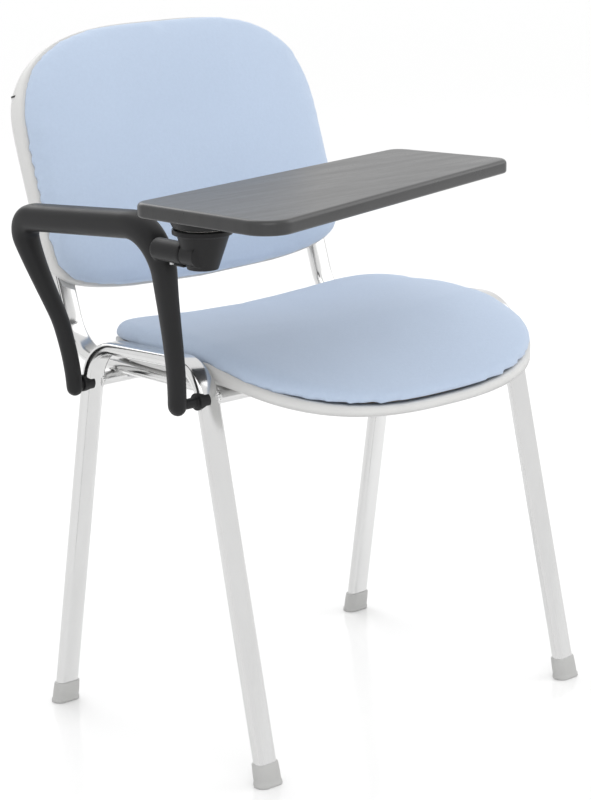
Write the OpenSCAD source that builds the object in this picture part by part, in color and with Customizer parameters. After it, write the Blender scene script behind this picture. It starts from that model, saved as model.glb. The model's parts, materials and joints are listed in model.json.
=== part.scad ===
// Stacking chair with a folding writing tablet: two bent oval side frames, two L-shaped back
// uprights, an upholstered seat and back on moulded shells, and one arm loop that carries the tablet.
// The sitter faces -Y. +Z is up and the feet stand on z = 0. The arm is at -X, the sitter's right.

/* [Frame] */
// Width of the oval frame tube, across the chair
tube_w = 30; // [26:1:34]
// Thickness of the oval frame tube, in the plane of its bends
tube_t = 15; // [13:1:18]
// Wall of the frame tube
tube_wall = 1.5; // [1:0.1:2.2]
// Height of the centre of the side rails, at the rear
rail_z = 465; // [380:1:560]
// Rise of the side rails from rear to front
rail_rise = 8; // [0:0.5:12]
// Distance from the middle of the chair to the centre of a side frame, at the rails
frame_half = 249; // [205:1:300]
// Distance between the front and rear corners of a side rail
rail_len = 196; // [160:1:240]
// Radius of the frame bends, at the middle of the tube
bend_r = 50; // [40:1:56]
// Lean of the front legs from upright, in degrees
front_lean = 13; // [8:0.5:16]
// Lean of the rear legs from upright, in degrees
rear_lean = 9.2; // [6:0.1:14]
// Outward splay of the side frames, in degrees
splay = 0.55; // [0:0.05:1.5]
// Turn of the side frames towards a wider front, in degrees
toe = 0.6; // [0:0.1:1.2]
// Diameter of the cross tubes under the seat
cross_d = 16; // [14:1:20]
// Height of the rear cross tube below the rails
rear_cross_drop = 46; // [42:1:56]

/* [Back uprights] */
// Space between a side frame and the upright beside it
upright_gap = 9; // [4:1:14]
// Radius of the bend from under the seat to the back
upright_bend_r = 60; // [45:1:75]
// Recline of the back from upright, in degrees
recline = 17.6; // [10:0.1:22]

/* [Seat] */
// Depth of the seat, front to rear
seat_depth = 394; // [350:1:440]
// How far the front edge of the seat is ahead of the rail's front corner
seat_ahead = 158; // [135:1:175]
// Side gap between the seat and a side frame
seat_gap = 1; // [0.5:0.5:4]
// Thickness of the seat foam and cover
seat_foam = 18; // [12:1:30]
// Thickness of the moulded seat shell's wall
shell_wall = 2.5; // [2:0.1:4]
// Thickness of the plywood boards
board_t = 10; // [8:1:14]
// Drop of the seat's front edge
front_drop = 34; // [20:1:45]

/* [Back] */
// Height of the back, along its slope
back_h = 324; // [260:1:380]
// Height of the middle of the back above the rails
back_rise = 195; // [185:1:250]
// Space between an upright and the side edge of the back
back_side = 12.5; // [8:0.5:20]
// How far the side edges of the back come forward of its middle
back_sag = 11; // [0:1:25]
// Thickness of the back foam and cover
back_foam = 22; // [14:1:32]
// Depth of the back shell over the uprights
back_shell_depth = 29; // [28:1:34]

/* [Arm] */
// Height of the middle of the arm rail above the side rail
arm_rise = 165.5; // [150:0.5:200]
// Rise of the arm rail from rear to front
arm_slope = 22; // [0:1:26]
// How far the arm rail is outside the side frame, centre to centre
arm_out = 69; // [60:1:80]
// How far the front post is outside the side frame, centre to centre
front_post_out = 47; // [40:1:56]
// How far the rear post is outside the side frame, centre to centre
rear_post_out = 28; // [27:1:40]
// Half width of the arm rail
arm_half_w = 18; // [16:0.5:22]
// Half height of the arm rail
arm_half_h = 16; // [14:0.5:18]
// Diameter of the studs that hold the arm to the legs
stud_d = 8; // [6:1:8]

/* [Tablet joint] */
// Diameter of the flip shaft
shaft_d = 10; // [8:1:10]
// Diameter of the shaft boss on the arm
boss_d = 25; // [24:1:30]
// Running clearance of the shaft and of the swivel spigot, on the radius
run_fit = 0.08; // [0.03:0.01:0.1]
// Diameter of the swivel disc
disc_d = 66; // [60:1:76]
// Diameter of the swivel spigot
spigot_d = 14; // [12:1:14]
// Height of the tablet's underside above the flip axis
tablet_lift = 43; // [42:0.5:50]

/* [Tablet] */
// Thickness of the tablet
tablet_t = 16; // [12:1:20]
// Turn of the tablet's length towards the sitter at its far end, in degrees
tablet_yaw = 13; // [0:0.1:20]
// Distance from the swivel axis to the far end of the tablet
tablet_reach = 423.2; // [360:0.5:500]
// Distance from the swivel axis to the near end of the tablet, on the sitter's edge
tail_rear = 55.6; // [40:0.1:70]
// Distance from the swivel axis to the near end of the tablet, on the front edge
tail_front = 86.6; // [45:0.1:100]
// Sitter's edge of the tablet behind the swivel axis, at the near end
near_rear = 53.7; // [45:0.1:70]
// Front edge of the tablet ahead of the swivel axis, at the near end
near_front = 151.3; // [110:0.1:170]
// Sitter's edge of the tablet behind the swivel axis, at the far end
far_rear = 19.5; // [10:0.1:60]
// Front edge of the tablet ahead of the swivel axis, at the far end
far_front = 142.9; // [80:0.1:150]
// Radius of the tablet's corners
corner_r = 20; // [8:1:24]
// Radius of the tablet's corner beside the arm, at the front
near_corner_r = 32; // [16:1:45]

/* [Feet] */
// Height of the feet
foot_h = 26; // [20:1:34]
// Wall of the feet round the tube
foot_wall = 2; // [1.5:0.1:3]
// Extra half width of a foot at the floor
foot_flare = 1.5; // [0:0.1:3]

/* [Fixings] */
// Diameter of the seat and back screws
screw_d = 6; // [5:1:6]
// Clearance of a fixing in its hole, on the radius
hole_fit = 0.1; // [0.05:0.05:0.3]

/* [Hidden] */
$fn = 48;
eps = 0.01;

// Frame
rail_front = -85;
rail_rear = rail_front + rail_len;
rail_mid = (rail_front + rail_rear) / 2;
foot_floor = 5;                         // rubber under the end of a tube
leg_front_y = rail_front - rail_z * tan(front_lean);
leg_rear_y = rail_rear + rail_z * tan(rear_lean);
frame_path = [[leg_front_y, 0] + foot_floor * [sin(front_lean), cos(front_lean)],
              [rail_front + rail_rise * tan(front_lean), rail_z + rail_rise], [rail_rear, rail_z],
              [leg_rear_y, 0] + foot_floor * [-sin(rear_lean), cos(rear_lean)]];

function frame_x(y, z) = frame_half + (rail_z - z) * tan(splay) - (y - rail_mid) * tan(toe);
function front_leg_y(z) = rail_front - (rail_z - z) * tan(front_lean);
function rear_leg_y(z) = rail_rear + (rail_z - z) * tan(rear_lean);

rear_cross_z = rail_z - rear_cross_drop;

// Uprights: an L whose foot lies on the rear cross tube and ends on the front one
upright_x = frame_half - tube_w / 2 - upright_gap - tube_w / 2;
upright_foot_z = rear_cross_z + cross_d / 2 + tube_t / 2;
front_cross_z = upright_foot_z + (tube_t - cross_d) / 2;    // level with the tops of the uprights
back_y = 246;                           // middle of the back's rim plane
back_z = rail_z + back_rise;
upright_n = board_t + tube_t / 2 + 0.1; // centre of an upright behind the rim plane
upright_top = 0.27 * back_h;            // end of an upright above the middle of the back
upright_line_y = back_y + upright_n * cos(recline);
upright_line_z = back_z - upright_n * sin(recline);
upright_corner_y = upright_line_y - (upright_line_z - upright_foot_z) * tan(recline);
upright_path = [[front_leg_y(front_cross_z), upright_foot_z],
                [upright_corner_y, upright_foot_z],
                [upright_line_y + upright_top * sin(recline), upright_line_z + upright_top * cos(recline)]];

// Seat
seat_half = frame_half - tube_w / 2 - seat_gap - rail_len / 2 * tan(toe);
seat_front = rail_front - seat_ahead;
seat_rear = seat_front + seat_depth;
shell_base = upright_foot_z + tube_t / 2;
seam_z = rail_z + 3;                    // where cover and shell meet, beside the rails
seat_step = 14;                         // the shell steps in below its rim
drop_start = rail_front - 25;
screw_front_y = rail_front + 30;
screw_rear_y = rail_rear - 20;
seat_screw_at = [for (x = [-1, 1], y = [screw_front_y, screw_rear_y]) [x * upright_x, y]];

// Back
back_half = upright_x + tube_w / 2 + back_side;
back_rim = 16;                          // depth of the back shell's rim
back_step = 9;                          // the back shell steps in behind its rim
back_screw_at = [for (x = [-1, 1], w = [-0.22, 0.17]) [x * upright_x, w * back_h]];

// Arm: centres of the loop
arm_x = frame_half + arm_out;
arm_z = rail_z + arm_rise;
arm_front_z = arm_z + arm_slope / 2;
arm_rear_z = arm_z - arm_slope / 2;
front_stud_y = front_leg_y(front_cross_z);
rear_stud_y = rear_leg_y(rear_cross_z);
// The studs run into the cross tubes: along the chair, height, and the post's distance from the middle
arm_stud_at = [[front_stud_y, front_cross_z, frame_half + front_post_out],
               [rear_stud_y, rear_cross_z, frame_half + rear_post_out]];

// Tablet joint
flip_x = arm_x + 8;                     // distance of the flip axis from the middle of the chair
flip_z = arm_z - 12;
boss_front = -148;                      // free end of the shaft boss
boss_root = -100;
swivel = [-flip_x + 15, -157.6];
tablet_z = flip_z + tablet_lift;
disc_t = 6;
pad_t = 1.5;
hub_h = 14;
disc_z = tablet_z - hub_h - pad_t - disc_t;

// Tablet outline about the swivel axis, before its turn
tablet_outline = [[-tail_rear, near_rear], [-tail_front, -near_front],
                  [tablet_reach, -far_front], [tablet_reach, far_rear]];
tablet_radii = [corner_r, near_corner_r, corner_r, corner_r];

function turned(p, a) = [p.x * cos(a) - p.y * sin(a), p.x * sin(a) + p.y * cos(a)];
function unit(v) = v / norm(v);
function left_of(v) = [-v.y, v.x];
function angle_of(v) = atan2(v.y, v.x);
function turn_of(a, b) = atan2(a.x * b.y - a.y * b.x, a.x * b.x + a.y * b.y);

// Corner i of a closed outline, rounded to radius r: the centre of its arc, and the arc's points
function corner_in(p, i) = unit(p[i] - p[(i + len(p) - 1) % len(p)]);
function corner_out(p, i) = unit(p[(i + 1) % len(p)] - p[i]);
function corner_centre(p, i, r) =
    p[i] - corner_in(p, i) * r * tan(abs(turn_of(corner_in(p, i), corner_out(p, i))) / 2)
    + left_of(corner_in(p, i)) * r * sign(turn_of(corner_in(p, i), corner_out(p, i)));
function corner_points(p, i, r, steps = 8) =
    let (c = corner_centre(p, i, r), turn = turn_of(corner_in(p, i), corner_out(p, i)),
         start = angle_of(corner_in(p, i)) - 90 * sign(turn))
    [for (k = [0:steps]) c + r * [cos(start + turn * k / steps), sin(start + turn * k / steps)]];
function rounded(p, r) = [for (i = [0:len(p) - 1]) each corner_points(p, i, r[i])];

// The part's origin is below the middle of its box
tablet_turned = [for (p = tablet_outline) swivel + turned(p, tablet_yaw)];
foot_half = tube_w / 2 + foot_wall + foot_flare;
x_low = corner_centre(tablet_turned, 0, corner_r).x - corner_r;
x_high = frame_x(leg_front_y, 0) + foot_half;
y_low = corner_centre(tablet_turned, 1, near_corner_r).y - near_corner_r;
y_high = back_y + (back_h / 2 - back_step) * sin(recline) + back_shell_depth * cos(recline);
origin_shift = [-(x_low + x_high) / 2, -(y_low + y_high) / 2, 0];

// ---- shared shapes ----

module stadium(w, t) {
    square([w - t, t], center = true);
    for (s = [-1, 1]) translate([s * (w - t) / 2, 0]) circle(d = t);
}

// A bar of stadium section along a path in the YZ plane. It is a hair thinner in its round bends,
// and its straights lap over their ends.
bend_slim = 0.1;
bend_lap = 1;

module bent_bar(path, radius, w, t) {
    last = len(path) - 1;
    dirs = [for (i = [0:last - 1]) unit(path[i + 1] - path[i])];
    turns = [for (i = [1:last - 1]) turn_of(dirs[i - 1], dirs[i])];
    trims = concat([0], [for (a = turns) radius * tan(abs(a) / 2)], [0]);
    for (i = [0:last - 1]) {
        a = path[i] + dirs[i] * (trims[i] - (i > 0 ? bend_lap : 0));
        b = path[i + 1] - dirs[i] * (trims[i + 1] - (i < last - 1 ? bend_lap : 0));
        translate([0, a.x, a.y]) rotate([-atan2(dirs[i].x, dirs[i].y), 0, 0])
            linear_extrude(norm(b - a)) stadium(w, t);
    }
    for (i = [1:last - 1]) {
        side = sign(turns[i - 1]);
        centre = path[i] - dirs[i - 1] * trims[i] + left_of(dirs[i - 1]) * radius * side;
        start = side > 0 ? angle_of(dirs[i - 1]) - 90 : angle_of(dirs[i]) + 90;
        translate([0, centre.x, centre.y]) rotate([90, 0, 90]) rotate([0, 0, start])
            rotate_extrude(angle = abs(turns[i - 1]))
                translate([radius, 0]) rotate([0, 0, 90]) stadium(w - bend_slim, t - bend_slim);
    }
}

module frame_tube(path, radius) {
    difference() {
        bent_bar(path, radius, tube_w, tube_t);
        bent_bar(path, radius, tube_w - 2 * tube_wall, tube_t - 2 * tube_wall);
    }
}

// Puts a side frame's own plane in its place; side is -1 for the sitter's right
module at_side(side) {
    translate([side * frame_half, rail_mid, rail_z]) rotate([0, -side * splay, side * toe])
        translate([0, -rail_mid, -rail_z]) children();
}

module origin() translate(origin_shift) children();

// ---- frame ----

module side_frame(side) {
    studs = side < 0 ? arm_stud_at : [];
    difference() {
        at_side(side) frame_tube(frame_path, bend_r);
        for (s = studs)
            translate([side * frame_half - 50, s.x, s.y]) rotate([0, 90, 0])
                cylinder(r = stud_d / 2 + hole_fit, h = 100);
    }
}

module side_bodies() {
    for (side = [-1, 1]) at_side(side) bent_bar(frame_path, bend_r, tube_w, tube_t);
}

// What a cross tube's ends are notched to, with room for the weld
module leg_notches(foot_y, lean) {
    for (side = [-1, 1]) at_side(side) translate([0, foot_y, 0]) rotate([lean, 0, 0])
        linear_extrude(rail_z / cos(lean)) stadium(tube_w, tube_t + 1.5);
}

module cross_tube(y, z, foot_y, lean) {
    difference() {
        translate([-frame_x(y, z), y, z]) rotate([0, 90, 0]) difference() {
            cylinder(d = cross_d, h = 2 * frame_x(y, z));
            translate([0, 0, -1]) cylinder(d = cross_d - 2 * tube_wall, h = 2 * frame_x(y, z) + 2);
        }
        leg_notches(foot_y, lean);
    }
}

module back_upright(side) {
    difference() {
        translate([side * upright_x, 0, 0]) frame_tube(upright_path, upright_bend_r);
        translate([-frame_half, front_leg_y(front_cross_z), front_cross_z]) rotate([0, 90, 0])
            cylinder(d = cross_d, h = 2 * frame_half);
        for (p = seat_screw_at) translate([p.x, p.y, upright_foot_z - 20])
            cylinder(r = screw_d / 2 + hole_fit, h = 40);
        at_back() for (p = back_screw_at) translate([p.x, 0, p.y]) rotate([-90, 0, 0])
            cylinder(r = screw_d / 2 + hole_fit, h = 60);
    }
}

module upright_plugs() {
    color("dimgray") origin() for (side = [-1, 1])
        translate([side * upright_x, upright_path[2].x, upright_path[2].y]) rotate([-recline, 0, 0]) {
            linear_extrude(2) stadium(tube_w, tube_t);
            translate([0, 0, -10]) linear_extrude(10)
                stadium(tube_w - 2 * tube_wall - 2 * hole_fit, tube_t - 2 * tube_wall - 2 * hole_fit);
        }
}

// Foot on the leg that meets the floor at y, leaning by the given angle from upright
module foot(side, y, lean) {
    reach = foot_wall + foot_flare;
    intersection() {
        at_side(side) translate([0, y, 0]) rotate([lean, 0, 0]) difference() {
            hull() {
                translate([0, 0, -8]) linear_extrude(10) stadium(tube_w + 2 * reach, tube_t + 2 * reach);
                translate([0, 0, foot_h - 1]) linear_extrude(1)
                    stadium(tube_w + 2 * foot_wall, tube_t + 2 * foot_wall);
            }
            translate([0, 0, foot_floor]) linear_extrude(foot_h)
                stadium(tube_w + 2 * hole_fit, tube_t + 2 * hole_fit);
        }
        translate([side * frame_half - 60, y - 60, 0]) cube([120, 120, 80]);
    }
}

// ---- seat ----

function drop_at(y, amount) = y > drop_start ? 0
    : amount * pow((drop_start - y) / (drop_start - seat_front), 2);

// Rounded plan of the seat: wide soft front corners, tighter rear corners
module seat_plan(inset) {
    front_r = 150;
    rear_r = 48;
    w = seat_half - inset;
    polygon(rounded([[-w, seat_front + inset], [w, seat_front + inset],
                     [w, seat_rear - inset], [-w, seat_rear - inset]],
                    [front_r - inset, front_r - inset, rear_r - inset, rear_r - inset]));
}

// Slab of the seat between two heights that fall away to the front edge
module seat_slab(low, low_drop, high, high_drop, inset) {
    steps = 14;
    front = [for (k = [0:steps]) seat_front - 1 + (drop_start - seat_front + 1) * k / steps];
    outline = concat([for (y = front) [y, low - drop_at(y, low_drop)]], [[seat_rear + 1, low]],
                     [[seat_rear + 1, high]],
                     [for (k = [steps:-1:0]) [front[k], high - drop_at(front[k], high_drop)]]);
    intersection() {
        translate([-seat_half - 1, 0, 0]) rotate([90, 0, 90])
            linear_extrude(2 * seat_half + 2) polygon(outline);
        translate([0, 0, rail_z - 100]) linear_extrude(200) seat_plan(inset);
    }
}

module seat_holes(r, from, height)
    for (p = seat_screw_at) translate([p.x, p.y, from]) cylinder(r = r, h = height);

rim_low = seam_z - seat_step;
base_drop = front_drop - 12;
board_low = seam_z - board_t;

module seat_shell() {
    boss_r = 9;
    color("gainsboro") origin() difference() {
        union() {
            difference() {
                union() {
                    seat_slab(rim_low, front_drop, seam_z, front_drop, 0);
                    seat_slab(shell_base, base_drop, rim_low + 1, front_drop, seat_step);
                }
                seat_slab(rim_low + shell_wall, front_drop, seam_z + 5, front_drop, shell_wall);
                seat_slab(shell_base + shell_wall, base_drop, rim_low + 5, front_drop,
                          seat_step + shell_wall);
            }
            seat_holes(boss_r, shell_base, board_low - shell_base);
        }
        seat_holes(screw_d / 2 + hole_fit, shell_base - 1, 60);
    }
}

module seat_board() {
    color("burlywood") origin() difference() {
        seat_slab(board_low, front_drop, seam_z, front_drop, shell_wall + 0.3);
        seat_holes(screw_d / 2 + 1.5 + hole_fit, board_low - 1, board_t + 2);
        seat_holes(10 + hole_fit, seam_z - 1.5, 5);
    }
}

module seat_pad() {
    color("lightsteelblue") origin()
        seat_slab(seam_z, front_drop, seam_z + seat_foam, front_drop + 2, 0);
}

module seat_screws() {
    head_h = 3.5;
    low = upright_foot_z - tube_t / 2;
    color("silver") origin() for (p = seat_screw_at) translate([p.x, p.y, 0]) difference() {
        union() {
            translate([0, 0, low - head_h]) cylinder(d = 12, h = head_h);
            translate([0, 0, low - eps]) cylinder(d = screw_d, h = seam_z - 2 - low);
        }
        translate([0, 0, low - head_h - 1]) cylinder(d = 4, h = 3, $fn = 6);
    }
}

// Tee nut: flange above, barrel down into the board
module tee_nut() {
    difference() {
        union() {
            translate([0, 0, -1.5]) cylinder(r = 10, h = 1.5);
            translate([0, 0, -board_t + 0.5]) cylinder(r = screw_d / 2 + 1.5, h = board_t - 1);
        }
        translate([0, 0, -board_t - 1]) cylinder(r = screw_d / 2 + hole_fit / 2, h = board_t + 3);
    }
}

module seat_tee_nuts() {
    color("silver") origin() for (p = seat_screw_at) translate([p.x, p.y, seam_z]) tee_nut();
}

// ---- back ----

// The back's own frame: x across, z up its slope, +y towards the rear
module at_back() translate([0, back_y, back_z]) rotate([-recline, 0, 0]) children();

module back_face(inset) {
    w = back_half - inset;
    h = back_h / 2 - inset;
    arch = 22;
    top = [for (k = [-8:8]) [-k / 8 * (w - 75), h - arch * pow(k / 8, 2)]];
    lower = rounded([[-w, -h], [w, -h], [w, h - arch - 75], [-w, h - arch - 75]],
                    [34 - inset, 34 - inset, 0.1, 0.1]);
    shoulder = [for (a = [0:10:90]) [w - 75 + 75 * cos(a), h - arch - 75 + 75 * sin(a)]];
    right = [for (p = lower) if (p.y < 0 && p.x > 0) p];
    left = [for (p = lower) if (p.y < 0 && p.x < 0) p];
    polygon(concat(left, right, shoulder, top, [for (k = [len(shoulder) - 1:-1:0])
            [-shoulder[k].x, shoulder[k].y]]));
}

// Slab of the back between two depths; its sides come forward by back_sag
module back_slab(front, rear, inset) {
    steps = 16;
    xs = [for (k = [-steps:steps]) k / steps * (back_half + 1)];
    bow = [for (x = xs) -back_sag * pow(x / back_half, 2)];
    intersection() {
        translate([0, 0, -back_h]) linear_extrude(2 * back_h)
            polygon(concat([for (k = [0:2 * steps]) [xs[k], front + bow[k]]],
                           [for (k = [2 * steps:-1:0]) [xs[k], rear + bow[k]]]));
        translate([0, 100, 0]) rotate([90, 0, 0]) linear_extrude(200) back_face(inset);
    }
}

module back_holes(r, from, depth)
    for (p = back_screw_at) translate([p.x, from, p.y]) rotate([-90, 0, 0]) cylinder(r = r, h = depth);

// The shell is open for the uprights and their plugs
pocket_path = [upright_path[0], upright_path[1],
               upright_path[2] + 3 * [sin(recline), cos(recline)]];

module back_shell() {
    color("gainsboro") origin() difference() {
        at_back() difference() {
            union() {
                back_slab(0, back_rim, 0);
                back_slab(back_rim - 1, back_shell_depth, back_step);
            }
            back_slab(-5, back_rim - shell_wall, shell_wall);
            back_slab(back_rim - 5, back_shell_depth - shell_wall, back_step + shell_wall);
        }
        for (side = [-1, 1]) translate([side * upright_x, 0, 0])
            bent_bar(pocket_path, upright_bend_r, tube_w + 1, tube_t + 1);
    }
}

board_sag = back_sag * pow((upright_x + tube_w / 2) / back_half, 2);

module back_board() {
    color("burlywood") origin() at_back() difference() {
        union() {
            back_slab(0, back_rim - shell_wall - 0.3, shell_wall + 0.3);
            back_slab(1, board_t + 10, back_step + shell_wall + 0.3);
        }
        translate([-back_half - 5, board_t, -back_h]) cube([2 * back_half + 10, 60, 2 * back_h]);
        back_holes(screw_d / 2 + 1.5 + hole_fit, -30, 60);
        back_holes(10 + hole_fit, -30, 30 + 1.5 - board_sag);
    }
}

module back_pad() {
    color("lightsteelblue") origin() at_back() difference() {
        back_slab(-back_foam, 0, 0);
        back_holes(10 + hole_fit, -board_sag - 3, 20);
    }
}

module back_screws() {
    rear = upright_n + tube_t / 2;
    color("silver") origin() at_back() for (p = back_screw_at)
        translate([p.x, rear, p.y]) rotate([90, 0, 0]) difference() {
            union() {
                translate([0, 0, -1.6]) cylinder(d = 12, h = 1.6);
                translate([0, 0, -eps]) cylinder(d = screw_d, h = rear + board_sag - 2.5);
            }
            translate([0, 0, -2]) cylinder(d = 4, h = 1.4, $fn = 6);
        }
}

module back_tee_nuts() {
    color("silver") origin() at_back() for (p = back_screw_at)
        translate([p.x, -board_sag, p.y]) rotate([90, 0, 0]) tee_nut();
}

// ---- arm ----

// Corners of the loop's centre line in the YZ plane, from the rear post round to the front one
arm_path = [[rear_stud_y - 2, rear_cross_z - 3], [rear_stud_y + 5, rear_cross_z + 81],
            [rear_stud_y + 47, arm_rear_z], [front_stud_y - 6.6, arm_front_z],
            [front_stud_y, front_cross_z]];
arm_radii = [0, 90, 23, 51, 0];
arm_sides = 16;
arm_bend_step = 15;                     // degrees of bend to each ring

function clamp01(v) = max(0, min(1, v));
// Points along a path in a plane: its rounded corners, and the middles of its straights
function path_arc(p, r, i) =
    let (a = unit(p[i] - p[i - 1]), b = unit(p[i + 1] - p[i]), turn = turn_of(a, b),
         c = p[i] - a * r * tan(abs(turn) / 2) + left_of(a) * r * sign(turn),
         start = angle_of(a) - 90 * sign(turn), steps = max(1, round(abs(turn) / arm_bend_step)))
    [for (k = [0:steps]) c + r * [cos(start + turn * k / steps), sin(start + turn * k / steps)]];
function between(a, b, n) = [for (k = [1:n - 1]) a + (b - a) * k / n];
arm_corners = concat([[arm_path[0]]],
                     [for (i = [1:len(arm_path) - 2]) path_arc(arm_path, arm_radii[i], i)],
                     [[arm_path[len(arm_path) - 1]]]);
arm_line = [for (i = [0:len(arm_corners) - 1])
    each concat(arm_corners[i], i == len(arm_corners) - 1 ? []
        : between(arm_corners[i][len(arm_corners[i]) - 1], arm_corners[i + 1][0], 4))];

// The loop leans out and thickens from its posts to its rail
rail_in = 6;                            // how much nearer the chair the rail's rear corner is
function along_rail(y) = clamp01((y - arm_path[3].x) / (arm_path[2].x - arm_path[3].x));
function arm_rail_z(y) = arm_front_z + (arm_rear_z - arm_front_z) * along_rail(y);
function arm_stud(p) = arm_stud_at[p.x > rail_mid ? 1 : 0];
function arm_up(p) = clamp01((p.y - arm_stud(p)[1]) / (arm_rail_z(p.x) - arm_stud(p)[1]));
function arm_point(i) = let (p = arm_line[i], s = arm_up(p), post = arm_stud(p)[2])
    [-(post + (arm_x - rail_in * along_rail(p.x) - post) * s * s * (3 - 2 * s)), p.x, p.y];
function arm_w(i) = let (s = arm_up(arm_line[i])) 9.5 + (arm_half_w - 9.5) * pow(s, 2.5);
function arm_t(i) = let (p = arm_line[i], s = arm_up(p))
    p.x > rail_mid ? 10 + (arm_half_h - 10) * pow(s, 4) : 12 + (arm_half_h - 12) * pow(s, 1.6);
arm_last = len(arm_line) - 1;
function arm_heading(i) = unit(arm_point(min(i + 1, arm_last)) - arm_point(max(i - 1, 0)));
// Ring of the loop about point c, across X and the in-plane normal
function arm_ring(c, heading, w, t) =
    let (n = unit(cross(heading, [1, 0, 0])), side = cross(n, heading))
    [for (k = [0:arm_sides - 1]) let (a = 360 * k / arm_sides)
        c + side * w * cos(a) + n * t * sin(a)];
// Round ends: smaller rings past the first and last centres
function arm_end(i, away, turns) = [for (a = turns)
    arm_ring(arm_point(i) + arm_heading(i) * away * arm_w(i) * sin(a), arm_heading(i),
             arm_w(i) * cos(a), arm_t(i) * cos(a))];
arm_rings = concat(arm_end(0, -1, [80, 55, 28]),
                   [for (i = [0:arm_last]) arm_ring(arm_point(i), arm_heading(i), arm_w(i), arm_t(i))],
                   arm_end(arm_last, 1, [28, 55, 80]));

module arm_body() {
    n = arm_sides;
    last = len(arm_rings) - 1;
    polyhedron([for (r = arm_rings) each r],
        concat([[for (k = [0:n - 1]) k]], [[for (k = [n - 1:-1:0]) last * n + k]],
               [for (i = [0:last - 1], k = [0:n - 1], half = [0, 1]) half == 0
                   ? [i * n + k, (i + 1) * n + k, i * n + (k + 1) % n]
                   : [i * n + (k + 1) % n, (i + 1) * n + k, (i + 1) * n + (k + 1) % n]]));
}

bush_wall = 1.5;
bush_r = shaft_d / 2 + bush_wall;
bush_back = boss_front + 34;
groove_y = boss_front + 24;
set_screw_d = 5;
stud_in = 5;                            // how far a stud goes past the middle of a post
stud_out = 13;                          // how far a stud goes into a cross tube
spacer_d = 12;
seat_in = 5;                            // bottom of a spacer's seat inside the middle of its post

module arm_loop() {
    color("dimgray") origin() difference() {
        union() {
            arm_body();
            translate([-flip_x, boss_root, flip_z]) rotate([90, 0, 0])
                cylinder(d = boss_d, h = boss_root - boss_front);
        }
        translate([-flip_x, bush_back, flip_z]) rotate([90, 0, 0]) cylinder(r = bush_r, h = 60);
        translate([-flip_x, groove_y, flip_z - 40]) cylinder(d = set_screw_d, h = 40);
        for (s = arm_stud_at) translate([0, s[0], s[1]]) rotate([0, 90, 0]) {
            translate([0, 0, -s[2] - stud_in]) cylinder(r = stud_d / 2, h = 60);
            translate([0, 0, -s[2] + seat_in]) cylinder(r = spacer_d / 2 + hole_fit, h = 30);
        }
    }
}

// A spacer ends in a saddle round the outer side of its leg
module arm_spacers() {
    color("dimgray") origin() for (s = arm_stud_at) difference() {
        translate([0, s[0], s[1]]) rotate([0, 90, 0]) {
            leg_side = frame_x(s[0], s[1]) + tube_w / 2;
            translate([0, 0, -s[2] + seat_in]) cylinder(d = spacer_d, h = s[2] - seat_in - leg_side + 1);
            translate([0, 0, -leg_side - 3]) cylinder(d = tube_t + 5, h = 15);
        }
        side_bodies();
        translate([-s[2] - 30, s[0], s[1]]) rotate([0, 90, 0])
            cylinder(r = stud_d / 2 + hole_fit, h = 90);
    }
}

function stud_end(s) = frame_x(s[0], s[1]) - tube_w / 2 - stud_out;

module arm_studs() {
    color("silver") origin() for (s = arm_stud_at)
        translate([-s[2] - stud_in, s[0], s[1]]) rotate([0, 90, 0])
            cylinder(d = stud_d, h = s[2] + stud_in - stud_end(s));
}

// Round nuts inside the ends of the cross tubes
module arm_nuts() {
    nut_len = 11;
    color("silver") origin() for (s = arm_stud_at)
        translate([-stud_end(s) - nut_len, s[0], s[1]]) rotate([0, 90, 0]) difference() {
            cylinder(r = cross_d / 2 - tube_wall - 0.05, h = nut_len + 1);
            translate([0, 0, -1]) cylinder(r = stud_d / 2 + hole_fit / 2, h = nut_len + 3);
        }
}

// ---- tablet joint ----

module shaft_bush() {
    color("whitesmoke") origin() difference() {
        translate([-flip_x, bush_back, flip_z]) rotate([90, 0, 0])
            cylinder(r = bush_r, h = bush_back - boss_front);
        translate([-flip_x, bush_back + 1, flip_z]) rotate([90, 0, 0])
            cylinder(r = shaft_d / 2 + run_fit, h = 60);
        translate([-flip_x, groove_y, flip_z - 40]) cylinder(d = set_screw_d, h = 40);
    }
}

module shaft_set_screw() {
    top = flip_z - shaft_d / 2 + 1.5;
    color("silver") origin() difference() {
        translate([-flip_x, groove_y, top - 11]) cylinder(d = set_screw_d, h = 11);
        translate([-flip_x, groove_y, top - 12]) cylinder(d = 2.5, h = 4, $fn = 6);
    }
}

// Fixed ledge under the boss, which the knuckle's lug rests on
stop_t = 4;
stop_top = flip_z - boss_d / 2 + 2;

module stop_plate() {
    color("dimgray") origin() difference() {
        translate([-flip_x - 4, boss_front + 0.3, stop_top - stop_t]) cube([34, 17, stop_t]);
        translate([-flip_x, boss_root + 40, flip_z]) rotate([90, 0, 0]) cylinder(d = boss_d, h = 110);
    }
}

knuckle_face = boss_front - 0.5;
cup_low = flip_z - 17;
cup_r_low = 17;
cup_r_high = 30;
washer_r = spigot_d / 2 + 1.5;
spigot_low = disc_z - 4;                // the washer turns under the knuckle's bore

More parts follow.
